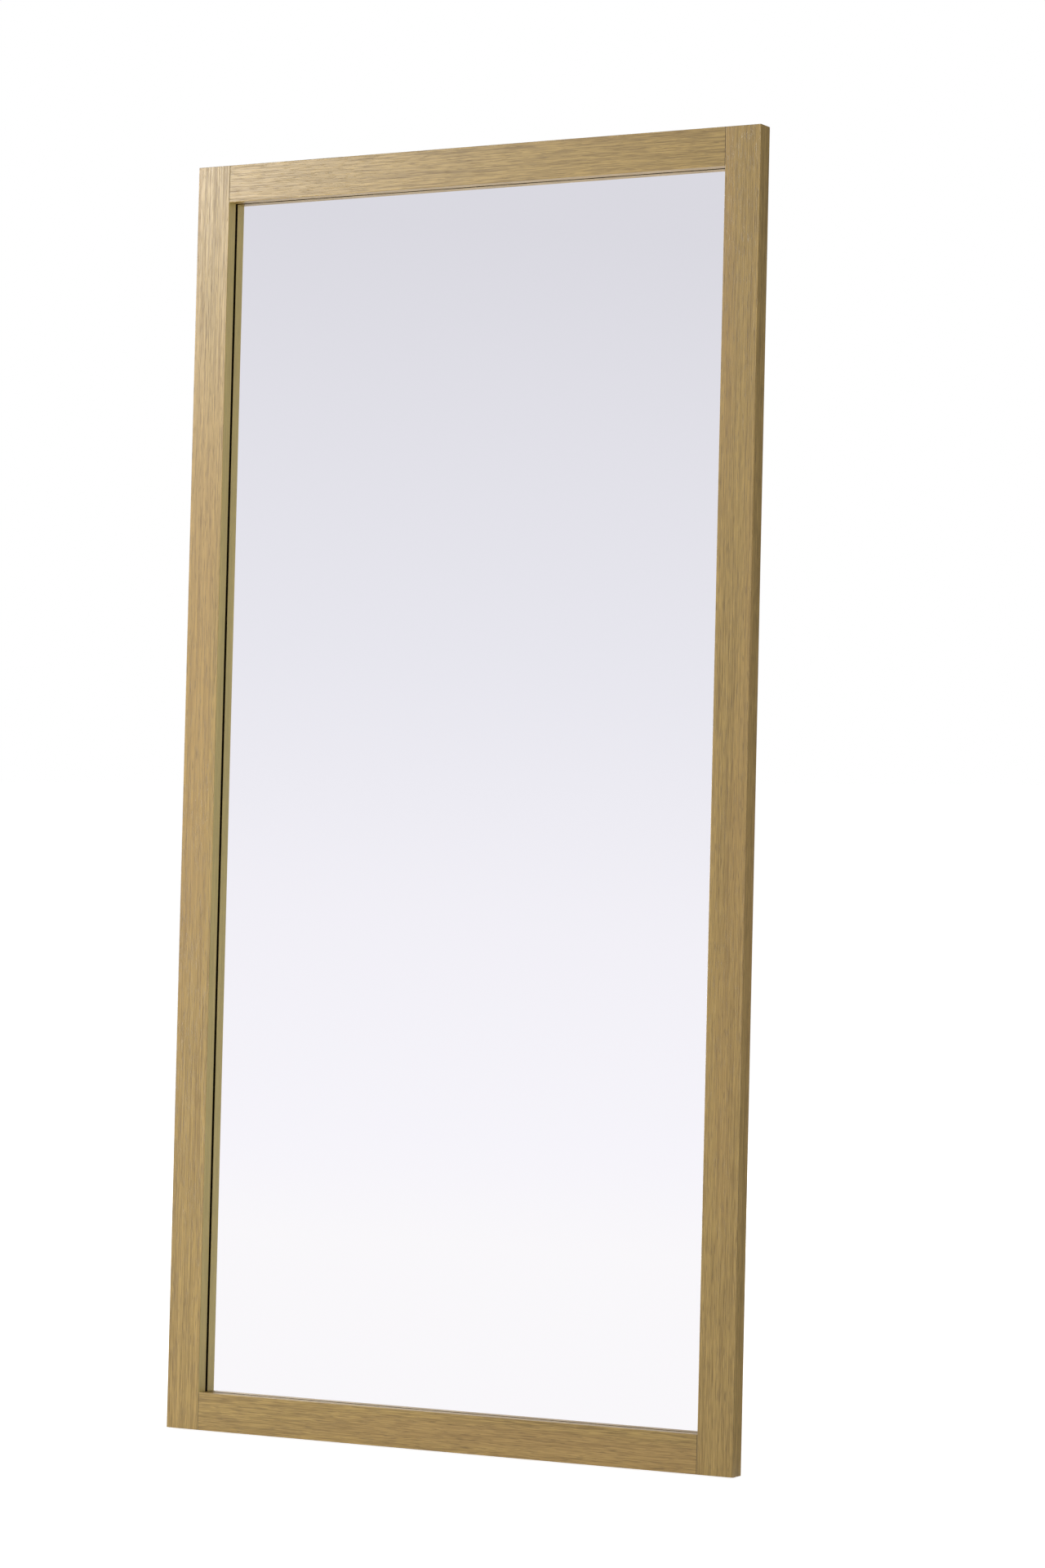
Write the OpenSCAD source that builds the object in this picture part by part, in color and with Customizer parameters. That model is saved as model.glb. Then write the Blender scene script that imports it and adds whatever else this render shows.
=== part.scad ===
// Full-length floor mirror in a plain timber frame, standing on a folding easel leg.
// Panel parts are drawn upright in panel coordinates: x across, y from the front face towards
// the back, z up along the panel from its bottom edge. in_panel() then leans them back.
// Leg parts are drawn hanging from the leg's hinge axis, and in_leg() swings them out.
// Stay parts are drawn hanging from the stay's pivots, and in_stay() swings them to the panel.

/* [Frame] */
// Overall width of the framed panel
frame_w = 850; // [600:10:1100]
// Overall height of the framed panel along its face
frame_h = 1700; // [1400:10:2100]
// Width of the frame's face
face_w = 50; // [40:1:80]
// Depth of the frame in front of the mirror
reveal_d = 16; // [12:1:24]
// Rounding radius on the arrises of the timber
ease = 0.6; // [0.3:0.1:1.5]
// Radius of the corner dowels
dowel_r = 4; // [3:0.5:5]
// Length of the corner dowels
dowel_len = 40; // [30:1:60]
// Distance of the outer dowel from the frame's outer edge
dowel_edge = 14; // [10:1:18]
// Distance between the two dowels of a corner
dowel_pitch = 16; // [12:1:20]

/* [Mirror and back] */
// Thickness of the mirror pane
pane_t = 4; // [3:0.5:6]
// How far the pane reaches behind the frame's face
pane_lap = 10; // [6:1:12]
// Thickness of the foam tape between pane and backing board
tape_t = 1; // [0.5:0.5:3]
// Width of the foam tape
tape_w = 12; // [6:1:20]
// Thickness of the backing board
board_t = 3; // [2:0.5:6]
// How far the backing board reaches behind the frame's face
board_lap = 20; // [17:1:24]
// How far the backing board lies below the frame's back face
board_inset = 1; // [0.5:0.5:3]
// Screws along each side of the backing board
side_screws = 6; // [4:1:8]
// Screws along each end of the backing board
end_screws = 3; // [2:1:4]

/* [Corner plates] */
// Length of each arm of a corner plate
plate_len = 75; // [60:1:100]
// Width of a corner plate's arms
plate_w = 16; // [12:1:18]
// Thickness of a corner plate
plate_t = 1.5; // [1:0.5:2.5]
// Distance of a corner plate from the frame's outer edges
plate_edge = 6; // [4:1:8]

/* [Battens] */
// Thickness of the two battens across the back
batten_t = 15; // [12:1:25]
// Height of the battens
batten_h = 60; // [50:1:90]
// Distance of the battens' ends from the frame's sides
batten_inset = 12; // [10:1:14]

/* [Easel leg] */
// Lean of the panel from the vertical in degrees
lean = 4; // [3:0.5:8]
// Slope of the open leg from the vertical in degrees
leg_back = 6; // [5:0.5:9]
// Distance of the leg's hinge axis below the top of the frame
hinge_drop = 500; // [420:10:700]
// Width over the leg's two uprights
leg_w = 360; // [280:10:440]
// Width of an upright
upright_w = 28; // [24:1:36]
// Front-to-back depth of an upright
upright_d = 18; // [16:1:24]
// Gap between the battens and the folded leg
leg_gap = 3; // [2:0.5:6]
// Height of the leg's cross rails
rail_h = 40; // [36:1:60]
// Distance of the upper cross rail's middle below the hinge axis
rail_drop = 90; // [70:5:120]
// Distance of the lower cross rail's middle above the floor
rail_rise = 120; // [80:5:200]

/* [Stay] */
// Length of a stay arm between its pivots
stay_r = 250; // [200:10:300]
// Width of a stay arm
arm_w = 15; // [13:1:18]
// Thickness of a stay arm
arm_t = 3; // [2:0.5:4]
// Radius of the rod across the stay
rod_r = 3; // [2.5:0.5:4]

/* [Metalwork] */
// Radius of the leg's hinge bolts
bolt_r = 4; // [3:0.5:5]
// Thickness of the steel brackets
bracket_t = 2.5; // [2:0.5:4]
// Length of a bracket's foot across the batten
bracket_foot = 34; // [30:1:45]
// Distance of the hangers below the top of the frame
hanger_drop = 250; // [200:10:300]
// Distance of a hanger's middle from the frame's side
hanger_edge = 19; // [19:1:21]
// Width of a hanger strap
strap_w = 12; // [10:1:14]
// Length of a hanger strap above its ring
strap_len = 36; // [32:1:45]
// Radius of a hanger ring's bend
ring_bend = 12; // [10:1:14]
// Radius of a hanger ring's wire
ring_wire = 1.5; // [1.5:0.25:2]

/* [Feet] */
// Height that the pads hold the panel's back bottom arris at
pad_t = 1; // [0.5:0.5:3]
// Thickness of the rubber feet under the leg
foot_t = 4; // [3:1:8]

/* [Clearances] */
// Gap around the pane and the board in their rebates
rebate_gap = 0.5; // [0.3:0.1:1]
// Radial gap of a pivot that turns
run_gap = 0.08; // [0.05:0.01:0.1]
// Radial gap of a fixed dowel, screw or rod in its hole
fix_gap = 0.04; // [0.02:0.01:0.1]
// Gap between faces that slide past each other
side_gap = 0.3; // [0.2:0.1:0.5]

/* [Hidden] */
$fn = 64;

over = 1;         // how far a cutter runs past the face it opens
floor_block = 60; // thickness of the block that trims feet to the floor

frame_d = reveal_d + pane_t + tape_t + board_t + board_inset;
opening_w = frame_w - 2 * face_w;
opening_h = frame_h - 2 * face_w;
board_y = reveal_d + pane_t + tape_t;
board_half = opening_w / 2 + board_lap;
pane_half = opening_w / 2 + pane_lap;

hinge_h = frame_h - hinge_drop;

// The panel's front bottom arris stands this high, which leaves the back one pad_t high
stand_h = pad_t + frame_d * sin(lean);
open_angle = lean + leg_back;
batten_back = frame_d + batten_t;
axis_y = batten_back + leg_gap + upright_d / 2;
hinge_y = axis_y * cos(lean) + hinge_h * sin(lean);
hinge_z = stand_h - axis_y * sin(lean) + hinge_h * cos(lean);
heel_y = hinge_y + hinge_z * tan(leg_back) + upright_d / 2 / cos(leg_back);
shift_y = -heel_y / 2;
leg_len = hinge_z / cos(leg_back);

// Rod height along the panel with the leg open and folded
rod_open_h = hinge_h - 2 * stay_r * cos(open_angle);
rod_fold_h = hinge_h - 2 * stay_r;
stay_batten_h = (rod_open_h + rod_fold_h) / 2;

upright_in = leg_w / 2 - upright_w;
washer_t = 2;
washer_r = 8;
arm_out = upright_in - washer_t - side_gap;
arm_in = arm_out - arm_t;
head_t = 2.5;
cap_t = 1.4;
cap_r = rod_r + 2;
ear_out = upright_in - washer_t - side_gap;
slot_ear_gap = 5; // between a stay arm and the slotted ear beside it
slot_ear_out = arm_in - slot_ear_gap;
ear_r = 10;
bolt_head_r = 7;
nut_r = 7.5;
nut_t = 6;
bolt_tail = 2;    // how far a hinge bolt comes through its nut
stay_bolt_r = 3;
stay_bolt_len = 20;
stay_head_r = 6;
leg_dowel_len = 30;
leg_dowel_pitch = 20;
buffer_r = 6;
pad_in = 5;       // the pads' inset from a stile's two sides
pad_front = 14;   // the pads' inset from the frame's front
pad_back = 2;     // the pads' inset from the frame's back

screw_r = 1.75;
screw_head_r = 3.5;
slot_t = 0.8;     // width of the cross recess in a screw head
slot_depth = 1;
plate_screw_len = 12.5;
board_screw_len = 11;
batten_screw_len = 32;
bracket_screw_len = 14;
hanger_screw_len = 15;
board_screw_in = 5; // from the board's edge
plate_holes = [32, 62]; // along each arm, from the plate's outer corner
bracket_screw_z = 13;
bracket_foot_h = 40;
hanger_holes = [11, 27]; // above the ring's axis

strap_t = 1.2;
tube_r = ring_wire + run_gap + strap_t;
ring_y = frame_d + tube_r;
ring_h = frame_h - hanger_drop;

// Screw places as [x, z] on the right-hand side of the panel
land_x = (board_half + frame_w / 2 - batten_inset) / 2;
board_edge = board_half - board_screw_in;
board_low = face_w - board_lap + board_screw_in;
side_step = (frame_h - 2 * board_low) / (side_screws - 1);
end_step = 2 * board_edge / (end_screws + 1);
board_side_places = [for (i = [0:side_screws - 1]) [board_edge, board_low + i * side_step]];
board_end_places = [for (i = [1:end_screws], z = [board_low, frame_h - board_low])
    [-board_edge + i * end_step, z]];
batten_places = [for (h = [hinge_h, stay_batten_h], s = [-1, 1]) [land_x, h + s * batten_h / 4]];
bracket_places = [for (h = [hinge_h, stay_batten_h], s = [-1, 1]) [h, s]];

oak = [0.74, 0.63, 0.43];
steel = [0.62, 0.63, 0.65];
rubber = [0.2, 0.19, 0.18];

module in_panel() translate([0, shift_y, stand_h]) rotate([-lean, 0, 0]) children();
module in_leg() translate([0, shift_y + hinge_y, hinge_z]) rotate([leg_back, 0, 0]) children();
module in_stay() in_leg() translate([0, 0, -stay_r]) rotate([-2 * open_angle, 0, 0]) children();
// A ring hangs straight down from its axis, whatever the lean
module in_ring(side) translate([side * (frame_w / 2 - hanger_edge),
    shift_y + ring_y * cos(lean) + ring_h * sin(lean),
    stand_h - ring_y * sin(lean) + ring_h * cos(lean)]) children();

module both() {
    children();
    mirror([1, 0, 0]) children();
}

// The four corners, from children drawn at the bottom right one
module at_corners() both() {
    children();
    translate([0, 0, frame_h]) mirror([0, 0, 1]) children();
}

// A cylinder along +x from x = at[0]
module bar_x(at, length, r) translate(at) rotate([0, 90, 0]) cylinder(h = length, r = r);

module rounded_rect(size, r) {
    translate([r, 0]) square([size[0] - 2 * r, size[1]]);
    translate([0, r]) square([size[0], size[1] - 2 * r]);
    for (x = [r, size[0] - r], y = [r, size[1] - r]) translate([x, y]) circle(r);
}

// A timber with every arris rounded
module timber(size) intersection() {
    linear_extrude(size[2]) rounded_rect([size[0], size[1]], ease);
    rotate([90, 0, 90]) linear_extrude(size[0]) rounded_rect([size[1], size[2]], ease);
    translate([0, size[1], 0]) rotate([90, 0, 0])
        linear_extrude(size[1]) rounded_rect([size[0], size[2]], ease);
}

// Everything below height h, for trimming what stands on the floor
module floor_below(h) translate([-frame_w, -frame_w, h - floor_block])
    cube([2 * frame_w, 2 * frame_w, floor_block]);

// A countersunk screw that goes in towards -y, with its head's face at at
module screw(at, length) translate(at) rotate([90, 0, 0]) difference() {
    union() {
        cylinder(h = screw_head_r - screw_r, r1 = screw_head_r, r2 = screw_r);
        cylinder(h = length - screw_r, r = screw_r);
        translate([0, 0, length - screw_r]) cylinder(h = screw_r, r1 = screw_r, r2 = 0);
    }
    for (a = [0, 90]) rotate([0, 0, a])
        translate([-screw_r, -slot_t / 2, -over]) cube([2 * screw_r, slot_t, over + slot_depth]);
}

// The hole for such a screw, with its countersink
module screw_hole(at, length) translate(at) rotate([90, 0, 0]) {
    translate([0, 0, -over]) cylinder(h = over, r = screw_head_r + fix_gap);
    cylinder(h = screw_head_r - screw_r, r1 = screw_head_r + fix_gap, r2 = screw_r + fix_gap);
    cylinder(h = length + fix_gap, r = screw_r + fix_gap);
}

// The pane's and the board's rebates, as one stepped block
module rebates() {
    translate([-pane_half, reveal_d, face_w - pane_lap])
        cube([2 * pane_half, board_y - reveal_d + over, opening_h + 2 * pane_lap]);
    translate([-board_half, board_y, face_w - board_lap])
        cube([2 * board_half, frame_d - board_y + over, opening_h + 2 * board_lap]);
}

module dowel_set(gap) at_corners() for (z = [dowel_edge, dowel_edge + dowel_pitch])
    bar_x([opening_w / 2 - dowel_len / 2 - gap, reveal_d / 2, z],
        dowel_len + 2 * gap, dowel_r + gap);

module corner_screw_set(hole) at_corners() for (d = plate_holes) {
    places = [[plate_edge + plate_w / 2, plate_edge + d], [plate_edge + d, plate_edge + plate_w / 2]];
    for (p = places) {
        at = [frame_w / 2 - p[0], frame_d + plate_t, p[1]];
        if (hole) screw_hole(at, plate_screw_len);
        else screw(at, plate_screw_len);
    }
}

module board_screw_set(hole) {
    both() for (p = board_side_places) board_screw([p[0], board_y + board_t, p[1]], hole);
    for (p = board_end_places) board_screw([p[0], board_y + board_t, p[1]], hole);
}

module board_screw(at, hole) {
    if (hole) screw_hole(at, board_screw_len);
    else screw(at, board_screw_len);
}

module batten_screw_set(hole) both() for (p = batten_places) {
    at = [p[0], batten_back, p[1]];
    if (hole) screw_hole(at, batten_screw_len);
    else screw(at, batten_screw_len);
}

module bracket_screw_set(hole) both() for (p = bracket_places) {
    ear = p[0] == hinge_h ? ear_out : slot_ear_out;
    at = [ear - bracket_foot / 2 - bracket_t, batten_back + bracket_t, p[0] + p[1] * bracket_screw_z];
    if (hole) screw_hole(at, bracket_screw_len);
    else screw(at, bracket_screw_len);
}

module hanger_screw_set(hole) both() for (d = hanger_holes) {
    at = [frame_w / 2 - hanger_edge, frame_d + strap_t, ring_h + d];
    if (hole) screw_hole(at, hanger_screw_len);
    else screw(at, hanger_screw_len);
}

// Everything that is drilled in the frame's timbers
module frame_drillings() {
    dowel_set(fix_gap);
    corner_screw_set(true);
    board_screw_set(true);
    batten_screw_set(true);
    hanger_screw_set(true);
}

module stile(side) in_panel() difference() {
    translate([side > 0 ? opening_w / 2 : -frame_w / 2, 0, 0]) timber([face_w, frame_d, frame_h]);
    rebates();
    frame_drillings();
}

module frame_rail(z) in_panel() difference() {
    translate([-opening_w / 2, 0, z]) timber([opening_w, frame_d, face_w]);
    rebates();
    frame_drillings();
}

module left_stile() color(oak) stile(-1);
module right_stile() color(oak) stile(1);
module top_rail() color(oak) frame_rail(frame_h - face_w);
module bottom_rail() color(oak) frame_rail(0);
module frame_dowels() color("burlywood") in_panel() dowel_set(0);

module corner_plates() color(steel) in_panel() difference() {
    at_corners() translate([frame_w / 2 - plate_edge, frame_d, plate_edge]) {
        translate([-plate_w, 0, 0]) cube([plate_w, plate_t, plate_len]);
        translate([-plate_len, 0, 0]) cube([plate_len, plate_t, plate_w]);
    }
    corner_screw_set(true);
}

module corner_screws() color(steel) in_panel() corner_screw_set(false);

module mirror_pane() color([0.85, 0.87, 0.9]) in_panel()
    translate([rebate_gap - pane_half, reveal_d, face_w - pane_lap + rebate_gap])
        cube([2 * (pane_half - rebate_gap), pane_t, opening_h + 2 * (pane_lap - rebate_gap)]);

module glazing_tape() color([0.15, 0.15, 0.16]) in_panel() {
    tape_half = pane_half - rebate_gap;
    tape_h = opening_h + 2 * (pane_lap - rebate_gap);
    translate([0, reveal_d + pane_t, frame_h / 2]) difference() {
        translate([-tape_half, 0, -tape_h / 2]) cube([2 * tape_half, tape_t, tape_h]);
        translate([tape_w - tape_half, -over, tape_w - tape_h / 2])
            cube([2 * (tape_half - tape_w), tape_t + 2 * over, tape_h - 2 * tape_w]);
    }
}

module backing_board() color([0.48, 0.36, 0.24]) in_panel() difference() {
    translate([rebate_gap - board_half, board_y, face_w - board_lap + rebate_gap])
        cube([2 * (board_half - rebate_gap), board_t, opening_h + 2 * (board_lap - rebate_gap)]);
    board_screw_set(true);
}

module board_screws() color(steel) in_panel() board_screw_set(false);

module batten(h) in_panel() difference() {
    translate([batten_inset - frame_w / 2, frame_d, h - batten_h / 2])
        timber([frame_w - 2 * batten_inset, batten_t, batten_h]);
    batten_screw_set(true);
    bracket_screw_set(true);
}

module hinge_batten() color(oak) batten(hinge_h);
module stay_batten() color(oak) batten(stay_batten_h);
module batten_screws() color(steel) in_panel() batten_screw_set(false);

// An angle bracket: a foot on the batten and an ear that reaches back from it
module angle_bracket(ear_x, h, ear_half, ear_end) {
    translate([ear_x - bracket_t - bracket_foot, batten_back, h - bracket_foot_h / 2])
        cube([bracket_foot + bracket_t, bracket_t, bracket_foot_h]);
    translate([ear_x - bracket_t, batten_back, h - ear_half])
        cube([bracket_t, ear_end - batten_back, 2 * ear_half]);
}

module pivot_brackets() color(steel) in_panel() difference() {
    both() {
        angle_bracket(ear_out, hinge_h, ear_r, axis_y);
        bar_x([ear_out - bracket_t, axis_y, hinge_h], bracket_t, ear_r);
    }
    both() bar_x([ear_out - bracket_t - over, axis_y, hinge_h], bracket_t + 2 * over, bolt_r + fix_gap);
    bracket_screw_set(true);
}

module slot_brackets() color(steel) in_panel() difference() {
    slot_r = rod_r + side_gap;
    ear_half = (rod_open_h - rod_fold_h) / 2 + ear_r;
    both() angle_bracket(slot_ear_out, stay_batten_h, ear_half, axis_y + ear_r);
    both() {
        for (h = [rod_open_h, rod_fold_h])
            bar_x([slot_ear_out - bracket_t - over, axis_y, h], bracket_t + 2 * over, slot_r);
        translate([slot_ear_out - bracket_t - over, axis_y - slot_r, rod_fold_h])
            cube([bracket_t + 2 * over, 2 * slot_r, rod_open_h - rod_fold_h]);
    }
    bracket_screw_set(true);
}

module bracket_screws() color(steel) in_panel() bracket_screw_set(false);

module hinge_bolts() color(steel) in_panel() both() {
    bolt_in = ear_out - bracket_t - nut_t - bolt_tail;
    bar_x([bolt_in, axis_y, hinge_h], leg_w / 2 + side_gap - bolt_in, bolt_r);
    bar_x([leg_w / 2 + side_gap, axis_y, hinge_h], head_t, bolt_head_r);
}

module hinge_washers() color("goldenrod") in_panel() both() difference() {
    bar_x([ear_out, axis_y, hinge_h], washer_t, washer_r);
    bar_x([ear_out - over, axis_y, hinge_h], washer_t + 2 * over, bolt_r + fix_gap);
}

module hinge_nuts() color(steel) in_panel() both() difference() {
    translate([ear_out - bracket_t - nut_t, axis_y, hinge_h]) rotate([0, 90, 0])
        cylinder(h = nut_t, r = nut_r, $fn = 6);
    bar_x([ear_out - bracket_t - nut_t - over, axis_y, hinge_h], nut_t + 2 * over, bolt_r + fix_gap);
}

module leg_buffers() color(rubber) in_panel() both()
    translate([leg_w / 2 - upright_w / 2, batten_back, stay_batten_h]) rotate([-90, 0, 0])
        cylinder(h = leg_gap - side_gap, r = buffer_r);

module panel_pads() color(rubber) difference() {
    in_panel() both() translate([opening_w / 2 + pad_in, pad_front, -floor_block / 2])
        cube([face_w - 2 * pad_in, frame_d - pad_front - pad_back, floor_block / 2]);
    floor_below(0);
}

module hanger_straps() color(steel) in_panel() difference() {
    both() {
        translate([frame_w / 2 - hanger_edge - strap_w / 2, frame_d, ring_h])
            cube([strap_w, strap_t, strap_len]);
        bar_x([frame_w / 2 - hanger_edge - strap_w / 2, ring_y, ring_h], strap_w, tube_r);
    }
    both() bar_x([frame_w / 2 - hanger_edge - strap_w / 2 - over, ring_y, ring_h],
        strap_w + 2 * over, ring_wire + run_gap);
    hanger_screw_set(true);
}

module hanger_screws() color(steel) in_panel() hanger_screw_set(false);

// A D ring: a straight bar through the strap and a half circle that hangs from it
module hanger_ring(side) in_ring(side) {
    bar_x([-ring_bend, 0, 0], 2 * ring_bend, ring_wire);
    for (x = [-ring_bend, ring_bend]) translate([x, 0, 0]) sphere(ring_wire);
    rotate([90, 180, 0]) rotate_extrude(angle = 180) translate([ring_bend, 0]) circle(ring_wire);
}

module left_hanger_ring() color(steel) hanger_ring(-1);
module right_hanger_ring() color(steel) hanger_ring(1);

module leg_dowel_set(gap) both() for (z = [-rail_drop, rail_rise - leg_len], s = [-1, 1])
    bar_x([upright_in - leg_dowel_len / 2 - gap, 0, z + s * leg_dowel_pitch / 2],
        leg_dowel_len + 2 * gap, dowel_r + gap);

module right_upright_blank() {
    translate([upright_in, -upright_d / 2, -leg_len - floor_block / 2])
        timber([upright_w, upright_d, leg_len + floor_block / 2]);
    bar_x([upright_in, 0, 0], upright_w, upright_d / 2);
}

module leg_upright() difference() {
    in_leg() difference() {
        right_upright_blank();
        bar_x([upright_in - over, 0, 0], upright_w + 2 * over, bolt_r + run_gap);
        bar_x([upright_in - over, 0, -stay_r], stay_bolt_len + over + fix_gap, stay_bolt_r + fix_gap);
        leg_dowel_set(fix_gap);
    }
    floor_below(foot_t);
}

module left_leg_upright() color(oak) mirror([1, 0, 0]) leg_upright();
module right_leg_upright() color(oak) leg_upright();

module leg_rail(z) in_leg() difference() {
    translate([-upright_in, -upright_d / 2, z - rail_h / 2]) timber([2 * upright_in, upright_d, rail_h]);
    leg_dowel_set(fix_gap);
}

module leg_upper_rail() color(oak) leg_rail(-rail_drop);
module leg_lower_rail() color(oak) leg_rail(rail_rise - leg_len);
module leg_dowels() color("burlywood") in_leg() leg_dowel_set(0);

module leg_feet() color(rubber) intersection() {
    both() in_leg() right_upright_blank();
    difference() {
        floor_below(foot_t);
        floor_below(0);
    }
}

module stay_bolts() color(steel) in_leg() both() {
    bar_x([arm_in - side_gap, 0, -stay_r], upright_in + stay_bolt_len - arm_in + side_gap, stay_bolt_r);
    bar_x([arm_in - side_gap - head_t, 0, -stay_r], head_t, stay_head_r);
}

module stay_washers() color("goldenrod") in_leg() both() difference() {
    bar_x([upright_in - washer_t, 0, -stay_r], washer_t, washer_r);
    bar_x([upright_in - washer_t - over, 0, -stay_r], washer_t + 2 * over, stay_bolt_r + fix_gap);
}

module stay_arm() in_stay() difference() {
    union() {
        translate([arm_in, -arm_w / 2, -stay_r]) cube([arm_t, arm_w, stay_r]);
        for (z = [0, -stay_r]) bar_x([arm_in, 0, z], arm_t, arm_w / 2);
    }
    bar_x([arm_in - over, 0, 0], arm_t + 2 * over, stay_bolt_r + run_gap);
    bar_x([arm_in - over, 0, -stay_r], arm_t + 2 * over, rod_r + fix_gap);
}

module left_stay_arm() color(steel) mirror([1, 0, 0]) stay_arm();
module right_stay_arm() color(steel) stay_arm();
module stay_rod() color(steel) in_stay() bar_x([-arm_out - cap_t, 0, -stay_r],
    2 * (arm_out + cap_t), rod_r);

module rod_caps() color(steel) in_stay() both() difference() {
    for (x = [arm_out, arm_in - cap_t]) bar_x([x, 0, -stay_r], cap_t, cap_r);
    bar_x([arm_in - cap_t - over, 0, -stay_r], arm_t + 2 * (cap_t + over), rod_r + fix_gap);
}

left_stile();
right_stile();
top_rail();
bottom_rail();
frame_dowels();
corner_plates();
corner_screws();
mirror_pane();
glazing_tape();
backing_board();
board_screws();
hinge_batten();
stay_batten();
batten_screws();
pivot_brackets();
slot_brackets();
bracket_screws();
hinge_bolts();
hinge_washers();
hinge_nuts();
leg_buffers();
panel_pads();
hanger_straps();
hanger_screws();
left_hanger_ring();
right_hanger_ring();
left_leg_upright();
right_leg_upright();
leg_upper_rail();
leg_lower_rail();
leg_dowels();
leg_feet();
stay_bolts();
stay_washers();
left_stay_arm();
right_stay_arm();
stay_rod();
rod_caps();
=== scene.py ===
"""A full-length floor mirror in a plain oak frame, standing on a folding easel leg.

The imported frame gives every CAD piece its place. This script dresses those pieces in their
finishes, adds the mirror's silvering and the turned and pressed metalwork as finer meshes,
and sets up the studio: a pale floor, soft light from the upper left and the camera.
"""

import logging
import math
from dataclasses import dataclass, field
from enum import Enum
from typing import Optional, Sequence

import bpy
import numpy as np
from mathutils import Matrix, Vector


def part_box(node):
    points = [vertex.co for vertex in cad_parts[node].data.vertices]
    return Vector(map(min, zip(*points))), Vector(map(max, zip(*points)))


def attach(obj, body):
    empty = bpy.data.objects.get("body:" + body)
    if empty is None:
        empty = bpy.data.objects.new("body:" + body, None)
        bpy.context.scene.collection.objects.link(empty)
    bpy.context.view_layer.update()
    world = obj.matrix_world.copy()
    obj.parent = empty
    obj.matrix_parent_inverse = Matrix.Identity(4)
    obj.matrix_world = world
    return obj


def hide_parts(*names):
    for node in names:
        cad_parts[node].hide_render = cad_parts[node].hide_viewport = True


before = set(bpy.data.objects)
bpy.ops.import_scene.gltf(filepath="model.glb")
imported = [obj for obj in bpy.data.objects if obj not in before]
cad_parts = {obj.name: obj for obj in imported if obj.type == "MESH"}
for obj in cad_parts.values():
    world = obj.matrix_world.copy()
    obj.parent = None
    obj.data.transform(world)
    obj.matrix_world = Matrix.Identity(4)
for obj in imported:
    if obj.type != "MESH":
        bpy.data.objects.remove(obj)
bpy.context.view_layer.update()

LOG = logging.getLogger("floor_mirror")
MM = 0.001
SPREAD = (0.3, 0.7)  # nearly all of a noise pattern's values lie between these

Colour = tuple[float, float, float]
Row = tuple[float, ...]
Socket = bpy.types.NodeSocket
Material = bpy.types.Material
Piece = bpy.types.Object


def linear(red: int, green: int, blue: int) -> Colour:
    """A screen colour of 0 to 255 as the linear light that shaders work in.

    Args:
        red, green, blue: the colour as a screen shows it.

    Returns:
        The three linear values, 0 to 1.
    """
    values = np.array([red, green, blue]) / 255
    curve = np.where(values <= 0.04045, values / 12.92, ((values + 0.055) / 1.055) ** 2.4)
    return tuple(float(v) for v in curve)


def rgba(colour: Colour) -> tuple[float, float, float, float]:
    """The colour with an alpha of 1, as sockets take it."""
    return (*colour, 1.0)


class Body(Enum):
    """The rigid bodies that pieces ride on."""

    MIRROR = "mirror"
    LEG = "leg"
    STAY = "stay"
    LEFT_RING = "left_ring"
    RIGHT_RING = "right_ring"


class Grain(Enum):
    """Which way the wood's fibres run in the panel's or the leg's own directions."""

    UPRIGHT = "upright"
    ACROSS = "across"


# --- shader graphs


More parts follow.
